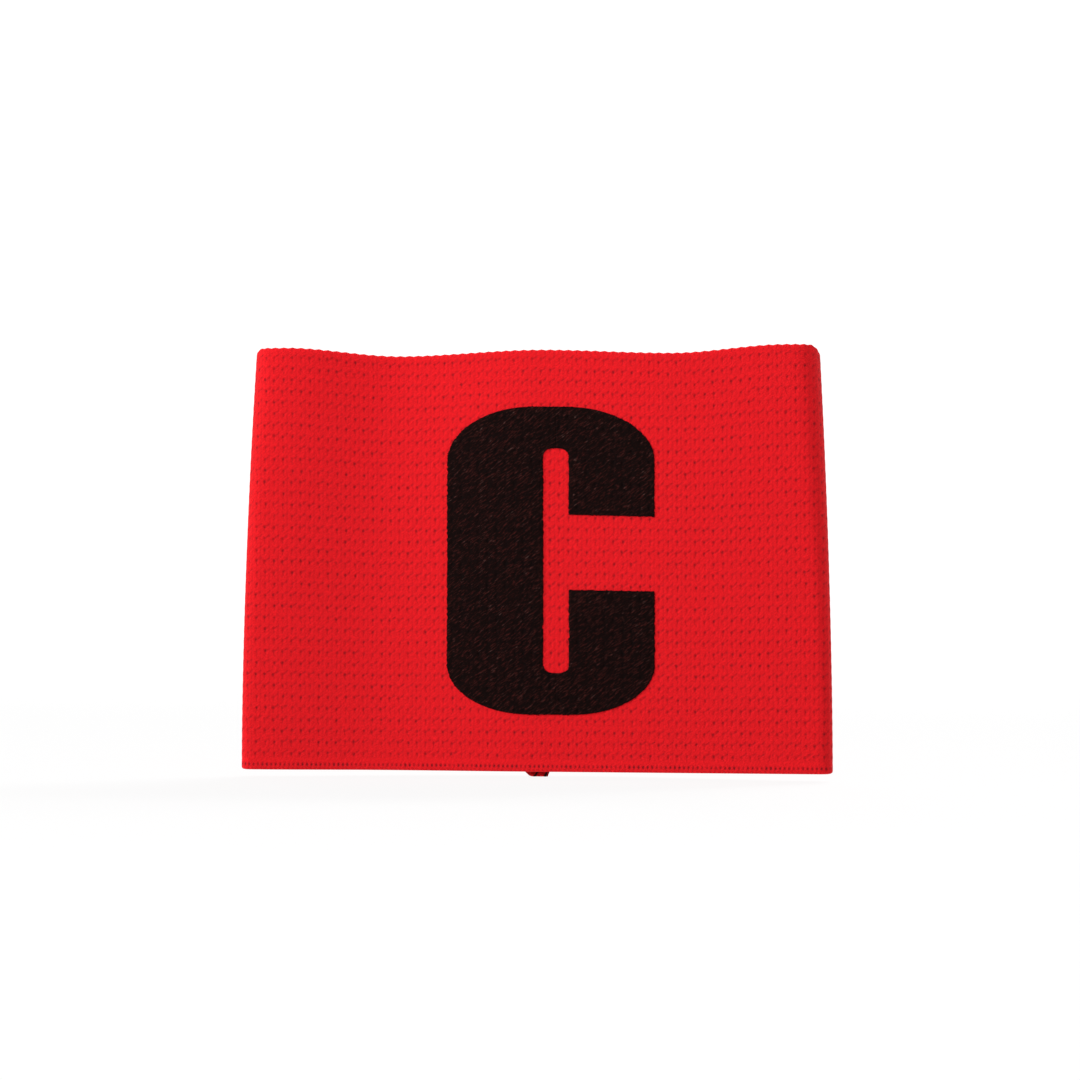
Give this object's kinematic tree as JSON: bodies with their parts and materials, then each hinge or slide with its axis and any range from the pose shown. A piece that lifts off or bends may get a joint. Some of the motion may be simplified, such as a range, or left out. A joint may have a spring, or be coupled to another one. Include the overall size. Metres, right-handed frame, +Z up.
{
  "type": "captain armband",
  "caption": "Wide tube of elastic knit worn round the upper arm, with a captain's letter printed on the front and a join seam inside at the back.",
  "frame": {"origin": "on the surface that the band stands on, under the middle of the whole part", "axes": "+Z up along the axis of the tube, the printed front faces -Y, +X to the right as seen from the front"},
  "size_m": [0.1398, 0.0286, 0.1],
  "materials": {
    "knit": "matt bright red elastic knit in fine raised rows",
    "seam": "dark red knit edges under overlock stitches",
    "print": "near-black print with the rows of the knit showing through"
  },
  "bodies": {
    "root": {"band": "knit", "join_seam": "seam", "captain_letter": "print"}
  },
  "joints": []
}
